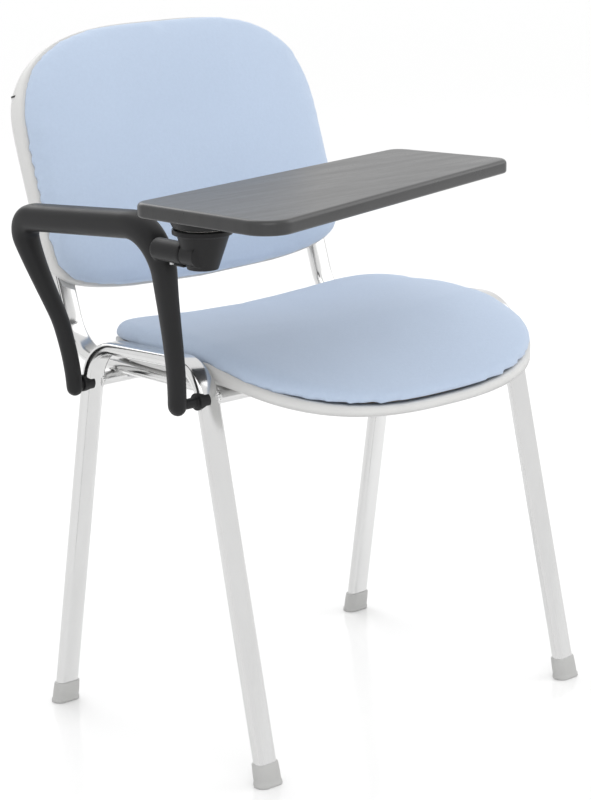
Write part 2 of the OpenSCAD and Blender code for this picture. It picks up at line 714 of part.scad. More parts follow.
module knuckle() {
    color("dimgray") origin() difference() {
        union() {
            translate([swivel.x, swivel.y, disc_z]) cylinder(d = disc_d, h = disc_t);
            intersection() {
                union() {
                    translate([swivel.x, swivel.y, cup_low])
                        cylinder(r1 = cup_r_low, r2 = cup_r_high, h = disc_z - cup_low);
                    translate([-flip_x, knuckle_face, flip_z]) rotate([90, 0, 0])
                        cylinder(d = boss_d - 1, h = 22);
                }
                translate([-flip_x - 100, knuckle_face - 100, cup_low - 10])
                    cube([200, 100, disc_z - cup_low + 11]);
            }
            translate([-flip_x + 16, knuckle_face + 1, stop_top + 0.3])
                cube([10, 9, disc_z - stop_top]);
        }
        translate([-flip_x, boss_front + 10, flip_z]) rotate([90, 0, 0]) cylinder(d = shaft_d, h = 28);
        translate([swivel.x, swivel.y, spigot_low - 1]) cylinder(r = spigot_d / 2 + run_fit, h = 90);
        translate([swivel.x, swivel.y, cup_low - 1]) cylinder(r = washer_r + 0.3, h = spigot_low - cup_low + 1);
    }
}

shaft_in = 14;                          // length of the shaft inside the knuckle

module flip_shaft() {
    color("silver") origin() difference() {
        translate([-flip_x, bush_back - 1, flip_z]) rotate([90, 0, 0])
            cylinder(d = shaft_d, h = bush_back - 1 - boss_front + shaft_in);
        translate([-flip_x, groove_y + 3, flip_z]) rotate([90, 0, 0]) difference() {
            cylinder(d = shaft_d + 2, h = 6);
            translate([0, 0, -1]) cylinder(r = shaft_d / 2 - 2, h = 8);
        }
    }
}

module friction_disc() {
    color("whitesmoke") origin() translate([swivel.x, swivel.y, disc_z + disc_t]) difference() {
        cylinder(d = disc_d - 4, h = pad_t);
        translate([0, 0, -1]) cylinder(r = spigot_d / 2 + 0.5, h = pad_t + 2);
    }
}

hub_z = tablet_z - hub_h;
hub_flange = 4;
hub_screw_r = 26;
hub_screw_at = [for (a = [45:90:315]) swivel + hub_screw_r * [cos(a), sin(a)]];
tablet_screw_d = 4;
swivel_screw_d = 6;

module tablet_hub() {
    color("dimgray") origin() difference() {
        union() {
            translate([swivel.x, swivel.y, hub_z]) cylinder(d1 = disc_d - 2, d2 = disc_d + 12, h = hub_h);
            translate([swivel.x, swivel.y, spigot_low]) cylinder(d = spigot_d, h = hub_z - spigot_low + 1);
        }
        translate([swivel.x, swivel.y, spigot_low - 1]) cylinder(d = swivel_screw_d, h = 22);
        for (p = hub_screw_at) translate([p.x, p.y, hub_z - 1]) {
            cylinder(r = tablet_screw_d / 2 + hole_fit, h = hub_h + 2);
            cylinder(d = 9, h = hub_h - hub_flange + 1);
        }
    }
}

module swivel_washer() {
    color("silver") origin() translate([swivel.x, swivel.y, spigot_low - 2]) difference() {
        cylinder(r = washer_r, h = 2);
        translate([0, 0, -1]) cylinder(r = swivel_screw_d / 2 + hole_fit, h = 4);
    }
}

module swivel_screw() {
    color("silver") origin() translate([swivel.x, swivel.y, spigot_low - 2]) difference() {
        union() {
            translate([0, 0, -4]) cylinder(d = 11, h = 4);
            cylinder(d = swivel_screw_d, h = 20);
        }
        translate([0, 0, -5]) cylinder(d = 4, h = 3.5, $fn = 6);
    }
}

module tablet_screws() {
    color("silver") origin() for (p = hub_screw_at)
        translate([p.x, p.y, tablet_z - hub_flange]) difference() {
            union() {
                translate([0, 0, -3]) cylinder(d = 7.5, h = 3);
                cylinder(d = tablet_screw_d, h = hub_flange + 9);
            }
            translate([0, 0, -4]) cylinder(d = 2.5, h = 3, $fn = 6);
        }
}

module tablet() {
    color("dimgray") origin() difference() {
        translate([0, 0, tablet_z]) linear_extrude(tablet_t)
            polygon(rounded(tablet_turned, tablet_radii));
        for (p = hub_screw_at) translate([p.x, p.y, tablet_z - 1]) cylinder(d = tablet_screw_d, h = 11);
        translate([swivel.x, swivel.y, tablet_z - 1]) cylinder(d = swivel_screw_d + 2, h = 9);
    }
}

color("gainsboro") origin() side_frame(-1);  // side_frame_right
color("gainsboro") origin() side_frame(1);  // side_frame_left
color("gainsboro") origin() cross_tube(front_leg_y(front_cross_z), front_cross_z, leg_front_y, -front_lean);  // front_cross_tube
color("gainsboro") origin() cross_tube(rear_leg_y(rear_cross_z), rear_cross_z, leg_rear_y, rear_lean);  // rear_cross_tube
color("gainsboro") origin() back_upright(-1);  // back_upright_right
color("gainsboro") origin() back_upright(1);  // back_upright_left
upright_plugs();
color("darkgray") origin() foot(-1, leg_front_y, -front_lean);  // foot_front_right
color("darkgray") origin() foot(1, leg_front_y, -front_lean);  // foot_front_left
color("darkgray") origin() foot(-1, leg_rear_y, rear_lean);  // foot_rear_right
color("darkgray") origin() foot(1, leg_rear_y, rear_lean);  // foot_rear_left
seat_shell();
seat_board();
seat_pad();
seat_screws();
seat_tee_nuts();
back_shell();
back_board();
back_pad();
back_screws();
back_tee_nuts();
arm_loop();
arm_spacers();
arm_studs();
arm_nuts();
shaft_bush();
shaft_set_screw();
stop_plate();
knuckle();
flip_shaft();
friction_disc();
tablet_hub();
swivel_screw();
swivel_washer();
tablet_screws();
tablet();
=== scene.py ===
import json
import math

import bmesh
import bpy
import numpy as np
from mathutils import Matrix, Vector


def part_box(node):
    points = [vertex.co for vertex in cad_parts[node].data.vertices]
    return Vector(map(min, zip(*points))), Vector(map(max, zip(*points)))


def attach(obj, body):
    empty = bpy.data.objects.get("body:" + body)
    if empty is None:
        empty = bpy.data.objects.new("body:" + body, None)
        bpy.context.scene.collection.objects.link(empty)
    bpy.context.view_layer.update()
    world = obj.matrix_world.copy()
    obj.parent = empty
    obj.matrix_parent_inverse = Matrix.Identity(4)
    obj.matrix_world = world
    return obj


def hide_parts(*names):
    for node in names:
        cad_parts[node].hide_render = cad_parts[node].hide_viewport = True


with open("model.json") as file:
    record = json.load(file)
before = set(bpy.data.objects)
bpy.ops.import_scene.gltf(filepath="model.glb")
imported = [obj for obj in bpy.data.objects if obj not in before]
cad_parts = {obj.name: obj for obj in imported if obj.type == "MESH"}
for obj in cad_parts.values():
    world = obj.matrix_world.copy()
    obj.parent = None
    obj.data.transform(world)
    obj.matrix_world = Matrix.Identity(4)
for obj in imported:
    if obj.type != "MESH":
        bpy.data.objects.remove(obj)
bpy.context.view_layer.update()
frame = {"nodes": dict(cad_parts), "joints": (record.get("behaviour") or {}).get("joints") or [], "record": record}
print("frame loaded:", len(frame["nodes"]), "nodes")

# The chair's own sizes; its zero line is seatAhead behind the front edge of the seat's solid
chair = {
    "seatAhead": 0.243,
    "railHeight": 0.465,
    "railRise": 0.008,
    "recline": math.radians(17.6),
    "tubeWidth": 0.030,
    "tubeThickness": 0.015,
}
seatLow, seatHigh = (np.array(c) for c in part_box("seat_pad"))
origin = np.array([(seatLow[0] + seatHigh[0]) / 2, seatLow[1] + chair["seatAhead"], 0.0])


def unit(v):
    return v / np.maximum(np.linalg.norm(v, axis=-1, keepdims=True), 1e-12)


def gridFaces(rows, cols, closed=True):
    # quads between neighbouring rows of a grid; the last column meets the first when closed
    r = np.arange(rows - 1)[:, None]
    c = np.arange(cols if closed else cols - 1)[None, :]
    n = (c + 1) % cols
    return np.stack([r * cols + c, r * cols + n, (r + 1) * cols + n, (r + 1) * cols + c], -1).reshape(-1, 4)


def addMesh(name, verts, quads, extra=(), material=None, smooth=True):
    faces = [tuple(int(i) for i in q) for q in quads] + [tuple(int(i) for i in f) for f in extra]
    mesh = bpy.data.meshes.new(name)
    mesh.from_pydata(np.asarray(verts, float).reshape(-1, 3).tolist(), [], faces)
    mesh.validate()
    mesh.update()
    mesh.polygons.foreach_set("use_smooth", np.full(len(mesh.polygons), smooth))
    if material:
        mesh.materials.append(material)
    obj = bpy.data.objects.new(name, mesh)
    bpy.context.scene.collection.objects.link(obj)
    return obj


def closeRings(name, rings, material):
    # rings (rows, cols, 3) skinned into a tube whose two ends close on the middle of their rings
    rows, cols = rings.shape[:2]
    verts = np.concatenate([rings.reshape(-1, 3), rings[:1].mean(1), rings[-1:].mean(1)])
    quads = gridFaces(rows, cols)
    k = np.arange(cols)
    n = (k + 1) % cols
    first, last = rows * cols, rows * cols + 1
    capA = np.stack([np.full(cols, first), n, k], -1)
    capB = np.stack([np.full(cols, last), (rows - 1) * cols + k, (rows - 1) * cols + n], -1)
    return addMesh(name, verts, quads, list(capA) + list(capB), material)


def joinPieces(name, parts):
    # one object from several, with their vertices kept
    verts, faces, total = [], [], 0
    for part in parts:
        mesh = part.data
        co = np.empty(len(mesh.vertices) * 3)
        mesh.vertices.foreach_get("co", co)
        verts.append(co.reshape(-1, 3))
        faces += [tuple(i + total for i in p.vertices) for p in mesh.polygons]
        total += len(mesh.vertices)
    material = parts[0].data.materials[0] if parts[0].data.materials else None
    joined = addMesh(name, np.concatenate(verts), [], faces, material)
    for part in parts:
        bpy.data.objects.remove(part)
    return joined


def roundedPath(corners, radii, spacing):
    # straight runs joined by arcs: an arc's centre is radius away from both runs it touches
    p = np.asarray(corners, float)
    pieces = [p[:1]]
    for i in range(1, len(p) - 1):
        a, b = unit(p[i] - p[i - 1]), unit(p[i + 1] - p[i])
        turn = math.acos(float(np.clip(a @ b, -1, 1)))
        start = p[i] - a * radii[i] * math.tan(turn / 2)
        inward = unit(b - a * (a @ b))
        steps = max(2, int(radii[i] * turn / spacing))
        t = np.linspace(0, turn, steps + 1)[:, None]
        pieces.append(start + radii[i] * (a * np.sin(t) + inward * (1 - np.cos(t))))
    pieces.append(p[-1:])
    filled = []
    for one, two in zip(pieces[:-1], pieces[1:]):
        gap = np.linalg.norm(two[0] - one[-1])
        steps = max(1, int(gap / (spacing * 2)))
        filled += [one, one[-1] + (two[0] - one[-1]) * (np.arange(1, steps) / steps)[:, None]]
    return np.concatenate(filled + [pieces[-1]])


def ovalProfile(width, thickness, count=40):
    # two half circles of the oval's thickness, joined by straights
    t = np.linspace(0, 2 * np.pi, count, endpoint=False)
    r = thickness / 2
    return np.stack([r * np.cos(t) + np.sign(np.cos(t)) * (width / 2 - r), r * np.sin(t)], -1)


def sweep(path, across, profile):
    # each ring is the profile laid over the path's normal plane: point = centre + across*x + normal*y
    heading = unit(np.gradient(path, axis=0))
    normal = unit(np.cross(heading, across))
    side = np.cross(normal, heading)
    profile = np.broadcast_to(profile, (len(path),) + profile.shape[-2:])
    return path[:, None] + side[:, None] * profile[..., :1] + normal[:, None] * profile[..., 1:]


def lathe(name, profile, centre, material, count=96):
    # profile (radius, height) turned about the vertical through centre
    a = np.linspace(0, 2 * np.pi, count, endpoint=False)
    p = np.asarray(profile, float)
    rings = np.stack([p[:, :1] * np.cos(a), p[:, :1] * np.sin(a), p[:, 1:] + 0 * a], -1) + np.asarray(centre)
    return closeRings(name, rings, material)


def evaluated(obj):
    graph = bpy.context.evaluated_depsgraph_get()
    return bpy.data.meshes.new_from_object(obj.evaluated_get(graph))


def applyModifiers(obj):
    mesh = evaluated(obj)
    obj.modifiers.clear()
    old = obj.data
    obj.data = mesh
    bpy.data.meshes.remove(old)
    mesh.polygons.foreach_set("use_smooth", np.full(len(mesh.polygons), True))


def voxelSmooth(obj, voxel, passes):
    # remeshed to even quads, then relaxed, so that every edge gets a small cast round
    remesh = obj.modifiers.new("remesh", "REMESH")
    remesh.mode, remesh.voxel_size, remesh.use_smooth_shade = "VOXEL", voxel, True
    relax = obj.modifiers.new("relax", "SMOOTH")
    relax.factor, relax.iterations = 0.5, passes
    applyModifiers(obj)


def castCopy(node, name, voxel, passes, material):
    # a merged copy of a CAD node with its edges rounded as a casting's are
    source = frame["nodes"][node]
    mesh = source.data.copy()
    copy = bpy.data.objects.new(name, mesh)
    bpy.context.scene.collection.objects.link(copy)
    mesh.materials.clear()
    mesh.materials.append(material)
    weld = copy.modifiers.new("weld", "WELD")
    weld.merge_threshold = 1e-5
    voxelSmooth(copy, voxel, passes)
    return copy


def finishPiece(piece, body, slot, *nodes):
    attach(piece, body)
    if nodes:
        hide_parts(*nodes)
    return piece


def newGroup(name, inputs, outputs):
    group = bpy.data.node_groups.new(name, "ShaderNodeTree")
    for label, kind, value in inputs:
        socket = group.interface.new_socket(name=label, in_out="INPUT", socket_type=kind)
        socket.default_value = value
    for label, kind in outputs:
        group.interface.new_socket(name=label, in_out="OUTPUT", socket_type=kind)
    return group, group.nodes.new("NodeGroupInput"), group.nodes.new("NodeGroupOutput")


def mathNode(tree, operation, a, b=None, clamp=False):
    node = tree.nodes.new("ShaderNodeMath")
    node.operation, node.use_clamp = operation, clamp
    for index, value in enumerate((a, b)):
        if value is None:
            continue
        if hasattr(value, "links"):
            tree.links.new(value, node.inputs[index])
        else:
            node.inputs[index].default_value = value
    return node.outputs[0]


def buildGrain():
    # fine spark texture: two noises of different size, one twice as strong as the other
    group, inside, outside = newGroup(
        "mouldGrain",
        [("Coordinates", "NodeSocketVector", (0, 0, 0)), ("Scale", "NodeSocketFloat", 900.0)],
        [("Height", "NodeSocketFloat"), ("Shade", "NodeSocketFloat")],
    )
    fine = group.nodes.new("ShaderNodeTexNoise")
    fine.inputs["Detail"].default_value = 2.0
    broad = group.nodes.new("ShaderNodeTexNoise")
    broad.inputs["Scale"].default_value = 22.0
    broad.inputs["Detail"].default_value = 3.0
    group.links.new(inside.outputs["Coordinates"], fine.inputs["Vector"])
    group.links.new(inside.outputs["Coordinates"], broad.inputs["Vector"])
    group.links.new(inside.outputs["Scale"], fine.inputs["Scale"])
    group.links.new(fine.outputs["Fac"], outside.inputs["Height"])
    mixed = mathNode(group, "ADD", mathNode(group, "MULTIPLY", fine.outputs["Fac"], 0.35),
                     mathNode(group, "MULTIPLY", broad.outputs["Fac"], 0.65))
    group.links.new(mixed, outside.inputs["Shade"])
    return group


def buildWeave():
    # plain weave: warp and weft are sine waves a thread apart, each on top where its checker square is
    group, inside, outside = newGroup(
        "clothWeave",
        [("Coordinates", "NodeSocketVector", (0, 0, 0)), ("Threads", "NodeSocketFloat", 900.0)],
        [("Height", "NodeSocketFloat"), ("Shade", "NodeSocketFloat")],
    )
    split = group.nodes.new("ShaderNodeSeparateXYZ")
    group.links.new(inside.outputs["Coordinates"], split.inputs[0])
    waves = []
    lifted = mathNode(group, "MULTIPLY", split.outputs["Z"], 1.13)
    upright = mathNode(group, "ADD", split.outputs["Y"], lifted)
    for axis in (split.outputs["X"], upright):
        turned = mathNode(group, "MULTIPLY", axis, inside.outputs["Threads"])
        waves.append(mathNode(group, "SINE", turned))
    both = mathNode(group, "MULTIPLY", waves[0], waves[1])
    slub = group.nodes.new("ShaderNodeTexNoise")
    slub.inputs["Scale"].default_value = 260.0
    slub.inputs["Detail"].default_value = 3.0
    group.links.new(inside.outputs["Coordinates"], slub.inputs["Vector"])
    height = mathNode(group, "ADD", mathNode(group, "MULTIPLY", both, 0.5), slub.outputs["Fac"])
    group.links.new(height, outside.inputs["Height"])
    patch = group.nodes.new("ShaderNodeTexNoise")
    patch.inputs["Scale"].default_value = 9.0
    patch.inputs["Detail"].default_value = 4.0
    group.links.new(inside.outputs["Coordinates"], patch.inputs["Vector"])
    shade = mathNode(group, "ADD", mathNode(group, "MULTIPLY", height, 0.45),
                     mathNode(group, "MULTIPLY", patch.outputs["Fac"], 0.45))
    group.links.new(shade, outside.inputs["Shade"])
    return group


grainGroup = buildGrain()
weaveGroup = buildWeave()


def newMaterial(name, settings):
    material = bpy.data.materials.new(name)
    material.use_nodes = True
    shader = material.node_tree.nodes["Principled BSDF"]
    for label, value in settings.items():
        shader.inputs[label].default_value = value
    return material, material.node_tree, shader


def objectCoordinates(tree, scale=(1, 1, 1), turn=0.0):
    coordinates = tree.nodes.new("ShaderNodeTexCoord")
    mapping = tree.nodes.new("ShaderNodeMapping")
    mapping.inputs["Scale"].default_value = scale
    mapping.inputs["Rotation"].default_value = (0, 0, turn)
    tree.links.new(coordinates.outputs["Object"], mapping.inputs["Vector"])
    return mapping.outputs["Vector"]


def addEffect(tree, group, coordinates, **values):
    node = tree.nodes.new("ShaderNodeGroup")
    node.node_tree = group
    tree.links.new(coordinates, node.inputs["Coordinates"])
    for label, value in values.items():
        node.inputs[label].default_value = value
    return node


def colourBetween(tree, factor, low, high, shader):
    mix = tree.nodes.new("ShaderNodeMix")
    mix.data_type = "RGBA"
    mix.inputs["A"].default_value = (*low, 1)
    mix.inputs["B"].default_value = (*high, 1)
    tree.links.new(factor, mix.inputs["Factor"])
    tree.links.new(mix.outputs["Result"], shader.inputs["Base Color"])


def rangeTo(tree, value, low, high, socket):
    ramp = tree.nodes.new("ShaderNodeMapRange")
    ramp.inputs["From Min"].default_value, ramp.inputs["From Max"].default_value = 0.25, 0.75
    ramp.inputs["To Min"].default_value, ramp.inputs["To Max"].default_value = low, high
    tree.links.new(value, ramp.inputs["Value"])
    tree.links.new(ramp.outputs["Result"], socket)


def bumpFrom(tree, height, strength, distance, shader):
    bump = tree.nodes.new("ShaderNodeBump")
    bump.inputs["Strength"].default_value = strength
    bump.inputs["Distance"].default_value = distance
    tree.links.new(height, bump.inputs["Height"])
    tree.links.new(bump.outputs["Normal"], shader.inputs["Normal"])


def grainyPlastic(name, low, high, rough, shine=0.38, scale=900.0, depth=0.00008, stretch=(1, 1, 1),
                  turn=0.0):
    material, tree, shader = newMaterial(name, {"Specular IOR Level": shine})
    where = objectCoordinates(tree, stretch, turn)
    grain = addEffect(tree, grainGroup, where, Scale=scale)
    colourBetween(tree, grain.outputs["Shade"], low, high, shader)
    rangeTo(tree, grain.outputs["Shade"], rough - 0.05, rough + 0.07, shader.inputs["Roughness"])
    bumpFrom(tree, grain.outputs["Height"], 0.5, depth, shader)
    return material


def chromeFinish():
    material, tree, shader = newMaterial("frameChrome", {"Metallic": 1.0})
    smudge = addEffect(tree, grainGroup, objectCoordinates(tree, (1, 1, 0.3)), Scale=120.0)
    colourBetween(tree, smudge.outputs["Shade"], (0.62, 0.62, 0.618), (0.71, 0.71, 0.707), shader)
    rangeTo(tree, smudge.outputs["Shade"], 0.10, 0.20, shader.inputs["Roughness"])
    return material


def zincFinish():
    material, tree, shader = newMaterial("zincSteel", {"Metallic": 1.0})
    grain = addEffect(tree, grainGroup, objectCoordinates(tree), Scale=700.0)
    colourBetween(tree, grain.outputs["Shade"], (0.45, 0.45, 0.46), (0.64, 0.64, 0.65), shader)
    rangeTo(tree, grain.outputs["Shade"], 0.28, 0.42, shader.inputs["Roughness"])
    return material


def clothFinish(name, low, high):
    material, tree, shader = newMaterial(
        name, {"Roughness": 0.92, "Sheen Weight": 0.25, "Sheen Roughness": 0.5, "Specular IOR Level": 0.2})
    weave = addEffect(tree, weaveGroup, objectCoordinates(tree), Threads=3200.0)
    colourBetween(tree, weave.outputs["Shade"], low, high, shader)
    bumpFrom(tree, weave.outputs["Height"], 0.45, 0.00035, shader)
    return material


def plywoodFinish():
    material, tree, shader = newMaterial("plywood", {"Roughness": 0.6})
    plies = addEffect(tree, grainGroup, objectCoordinates(tree, (6, 6, 120)), Scale=8.0)
    colourBetween(tree, plies.outputs["Shade"], (0.42, 0.28, 0.15), (0.70, 0.52, 0.32), shader)
    bumpFrom(tree, plies.outputs["Height"], 0.3, 0.0002, shader)
    return material


finishes = {
    "frame_chrome": chromeFinish(),
    "fixing_steel": zincFinish(),
    "cover_fabric": clothFinish("blueCover", (0.43, 0.515, 0.65), (0.51, 0.605, 0.75)),
    "shell_plastic": grainyPlastic("greyShell", (0.60, 0.60, 0.595), (0.70, 0.70, 0.69), 0.5),
    "foot_plastic": grainyPlastic("greyFoot", (0.42, 0.42, 0.415), (0.51, 0.51, 0.50), 0.5),
    "arm_plastic": grainyPlastic("blackArm", (0.009, 0.009, 0.0095), (0.019, 0.019, 0.020), 0.42,
                                 shine=0.22),
    # the tablet's lengthwise streaks, lighter and darker black, are partly mould grain and partly painted sheen
    # streaks standing in for reflections along the top; the roughness varies with them too
    "tablet_plastic": grainyPlastic("blackTablet", (0.010, 0.010, 0.0105), (0.036, 0.036, 0.037), 0.30,
                                    shine=0.55,
                                    scale=260.0, stretch=(0.35, 3.0, 1.0), turn=math.radians(-13.0)),
    "plywood": plywoodFinish(),
    "nylon": grainyPlastic("naturalNylon", (0.74, 0.73, 0.69), (0.82, 0.81, 0.77), 0.4),
}
print("materials made:", len(finishes))

for subpart in frame["record"]["subparts"]:
    node = frame["nodes"][subpart["node"]]
    for place in node.material_slots:
        place.material = finishes[subpart["material_slot"]]


frameSizes = {
    "halfWidth": 0.249,
    "railFront": -0.085,
    "railRear": 0.111,
    "bendRadius": 0.050,
    "frontLean": math.radians(13.0),
    "rearLean": math.radians(9.2),
    "splay": math.radians(0.55),
    "toe": math.radians(0.6),
    "spacing": 0.003,
}


def legFloor():
    z = chair["railHeight"]
    return (frameSizes["railFront"] - z * math.tan(frameSizes["frontLean"]),
            frameSizes["railRear"] + z * math.tan(frameSizes["rearLean"]))


def placeSide(points, side):
    # the side frame's own plane, leaned out by the splay and turned by the toe about the rail's middle
    middle = np.array([0, (frameSizes["railFront"] + frameSizes["railRear"]) / 2, chair["railHeight"]])
    toe = Matrix.Rotation(side * frameSizes["toe"], 3, "Z")
    turn = toe @ Matrix.Rotation(-side * frameSizes["splay"], 3, "Y")
    moved = (points - middle) @ np.array(turn).T + middle
    return moved + [side * frameSizes["halfWidth"], 0, 0] + origin


def makeSideFrame(side, name, node):
    floorFront, floorRear = legFloor()
    lift = 0.005
    z, rise = chair["railHeight"], chair["railRise"]
    corners = [[0, floorFront + lift * math.tan(frameSizes["frontLean"]), lift],
               [0, frameSizes["railFront"] + rise * math.tan(frameSizes["frontLean"]), z + rise],
               [0, frameSizes["railRear"], z],
               [0, floorRear - lift * math.tan(frameSizes["rearLean"]), lift]]
    r = frameSizes["bendRadius"]
    path = roundedPath(corners, [0, r, r, 0], frameSizes["spacing"])
    across = np.tile([1.0, 0, 0], (len(path), 1))
    rings = placeSide(sweep(path, across, ovalProfile(chair["tubeWidth"], chair["tubeThickness"])), side)
    tube = closeRings(name, rings, finishes["frame_chrome"])
    return finishPiece(tube, "chair", "frame_chrome", node)


makeSideFrame(-1, "sideFrameRight", "side_frame_right")
makeSideFrame(1, "sideFrameLeft", "side_frame_left")

uprightSizes = {"bendRadius": 0.060, "sideways": 0.210, "footSlack": 0.004}


def makeUpright(side, name, node):
    low, high = (np.array(c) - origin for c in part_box(node))
    foot = low[2] + chair["tubeThickness"] / 2
    lean = chair["recline"]
    half = chair["tubeThickness"] / 2
    # the end's middle: the box's far corner, less half the tube's slope in each direction
    topY = high[1] - half * math.cos(lean)
    topZ = high[2] - half * math.sin(lean)
    cornerY = topY - (topZ - foot) * math.tan(lean)
    x = side * uprightSizes["sideways"]
    corners = [[x, low[1] + uprightSizes["footSlack"], foot], [x, cornerY, foot], [x, topY, topZ]]
    path = roundedPath(corners, [0, uprightSizes["bendRadius"], 0], frameSizes["spacing"])
    across = np.tile([1.0, 0, 0], (len(path), 1))
    rings = sweep(path, across, ovalProfile(chair["tubeWidth"], chair["tubeThickness"])) + origin
    return finishPiece(closeRings(name, rings, finishes["frame_chrome"]), "chair", "frame_chrome", node)


makeUpright(-1, "uprightRight", "back_upright_right")
makeUpright(1, "uprightLeft", "back_upright_left")

crossSizes = {"diameter": 0.016, "beadRadius": 0.0022, "count": 40}


def makeCrossTube(name, node):
    low, high = (np.array(c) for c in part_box(node))
    middle = (low + high) / 2
    r = crossSizes["diameter"] / 2
    a = np.linspace(0, 2 * np.pi, crossSizes["count"], endpoint=False)
    x = np.linspace(low[0], high[0], 60)[:, None]
    rings = np.stack([x + 0 * a, middle[1] + r * np.cos(a) + 0 * x, middle[2] + r * np.sin(a) + 0 * x], -1)
    parts = [closeRings(name, rings, finishes["frame_chrome"])]
    for end, inward in ((low[0], 1), (high[0], -1)):
        # weld bead: a ring round the tube's end whose thickness ripples along its length
        b = np.linspace(0, 2 * np.pi, 16, endpoint=False)[:, None]
        around = np.linspace(0, 2 * np.pi, 160, endpoint=False)[None, :]
        thick = crossSizes["beadRadius"] * (1 + 0.12 * np.sin(around * 22))
        reach = r + thick * np.cos(b)
        bead = np.stack([end + inward * (0.0012 + thick * np.sin(b)), middle[1] + reach * np.cos(around),
                         middle[2] + reach * np.sin(around)], -1)
        quads = gridFaces(17, 160).reshape(16, 160, 4) % (16 * 160)
        bead = addMesh(name + "Bead", bead, quads.reshape(-1, 4), (), finishes["frame_chrome"])
        parts.append(bead)
    tube = joinPieces(name, parts)
    fixNormals(tube)
    return finishPiece(tube, "chair", "frame_chrome", node)


def fixNormals(obj):
    work = bmesh.new()
    work.from_mesh(obj.data)
    bmesh.ops.recalc_face_normals(work, faces=work.faces)
    work.to_mesh(obj.data)
    work.free()


makeCrossTube("frontCrossTube", "front_cross_tube")
makeCrossTube("rearCrossTube", "rear_cross_tube")

footSizes = {"height": 0.026, "wall": 0.002, "flare": 0.0015, "round": 0.0012}


def makeFoot(side, front, name, node):
    # level ovals stacked up the leg's line, flared to the floor and rounded at both rims
    floorFront, floorRear = legFloor()
    lean = frameSizes["frontLean"] if front else -frameSizes["rearLean"]
    floorY = floorFront if front else floorRear
    top, wall, flare, rim = (footSizes[k] for k in ("height", "wall", "flare", "round"))
    stack = np.array([[0.0, wall + flare - rim], [rim * 0.3, wall + flare - rim * 0.3], [rim, wall + flare],
                      [0.004, wall + flare], [0.0052, wall + flare - 0.0009],
                      [0.0066, wall + flare - 0.0009],
                      [top * 0.6, wall + flare * 0.35], [top - rim, wall],
                      [top - rim * 0.3, wall - rim * 0.3],
                      [top, wall - rim], [top, 0.0002]])
    rings = []
    for z, grow in stack:
        oval = ovalProfile(chair["tubeWidth"] + 2 * grow, chair["tubeThickness"] + 2 * grow, 48)
        across, along = oval[:, 0], floorY + z * math.tan(lean) + oval[:, 1]
        rings.append(np.stack([across, along, 0 * across + z], -1))
    foot = placeSide(np.array(rings), side)
    foot[..., 2] = np.maximum(foot[..., 2] - foot[0, :, 2].min(), 0)
    foot[0, :, 2] = 0
    piece = closeRings(name, foot, finishes["foot_plastic"])
    fixNormals(piece)
    return finishPiece(piece, "chair", "foot_plastic", node)


makeFoot(-1, True, "footFrontRight", "foot_front_right")
makeFoot(1, True, "footFrontLeft", "foot_front_left")
makeFoot(-1, False, "footRearRight", "foot_rear_right")
makeFoot(1, False, "footRearLeft", "foot_rear_left")
print("frame tubes, cross tubes and feet made")


seatShape = {
    "halfWidth": 0.2325,
    "front": -0.226,
    "middle": -0.070,
    "rear": 0.149,
    "frontPower": 2.7,
    "rearPower": 5.8,
    "height": 0.468,
    "dish": 0.018,
    "frontDrop": 0.0425,
    "dropStart": 0.10,
    "dropPower": 1.25,
    "crown": 0.015,
    "edge": 0.010,
    "rim": 0.008,
    "base": 0.441,
    "sideHang": 0.6,
}


def superOutline(t, lowPower, highPower):
    # unit outline |x|^n + |y|^n = 1, with one power below the middle and another above it
    c, s = np.cos(t), np.sin(t)
    n = np.where(s < 0, lowPower, highPower)
    return np.sign(c) * np.abs(c) ** (2 / n), np.sign(s) * np.abs(s) ** (2 / n)


def seatLine(u, v):
    # height of the board's edge line: dished across, falling away to the front
    fall = np.maximum(0, seatShape["dropStart"] - v) / (1 + seatShape["dropStart"])
    return (seatShape["height"] - 0.004 * np.maximum(0, v) ** 2 + seatShape["dish"] * u**2
            - seatShape["frontDrop"] * fall ** seatShape["dropPower"])


def seatRing(t, scale, rise):
    u, v = superOutline(t, seatShape["frontPower"], seatShape["rearPower"])
    u, v = u * scale, v * scale
    # the seam and the shell's rim hang lower at the sides than at the front
    rise = rise + seatShape["sideHang"] * np.minimum(rise, 0) * u**2
    depth = np.where(v < 0, seatShape["middle"] - seatShape["front"],
                     seatShape["rear"] - seatShape["middle"])
    return np.stack([u * seatShape["halfWidth"], seatShape["middle"] + v * depth, seatLine(u, v) + rise], -1)


def backPlace(x, w, n):
    # the back's own frame: w up its slope and n behind its rim, bowed forward at both sides
    lean = chair["recline"]
    shift = (backShape["bow"] * (x / backShape["halfWidth"]) ** 2
             + backShape["nod"] * (w / backShape["halfHeight"]) ** 2)
    n = n - shift
    y = backShape["middle"][0] + n * math.cos(lean) + w * math.sin(lean)
    z = backShape["middle"][1] - n * math.sin(lean) + w * math.cos(lean)
    return np.stack([x, y, z], -1)


backShape = {
    "halfWidth": 0.2365,
    "halfHeight": 0.162,
    "middle": (0.246, 0.660),
    "lowMiddle": 0.166,
    "lowArch": 0.020,
    "lowPower": 9.5,
    "highPower": 3.1,
    "bow": 0.0107,
    "nod": 0.004,
    "crown": 0.020,
    "edge": 0.004,
    "rim": 0.016,
    "depth": 0.029,
}


def backRing(t, scale, n):
    u, v = superOutline(t, backShape["lowPower"], backShape["highPower"])
    # the lower edge arches down in its middle
    reach = np.where(v < 0, backShape["lowMiddle"] - backShape["lowArch"] * np.abs(u) ** 2.5,
                     backShape["halfHeight"])
    return backPlace(u * scale * backShape["halfWidth"], v * scale * reach, n + 0 * u)


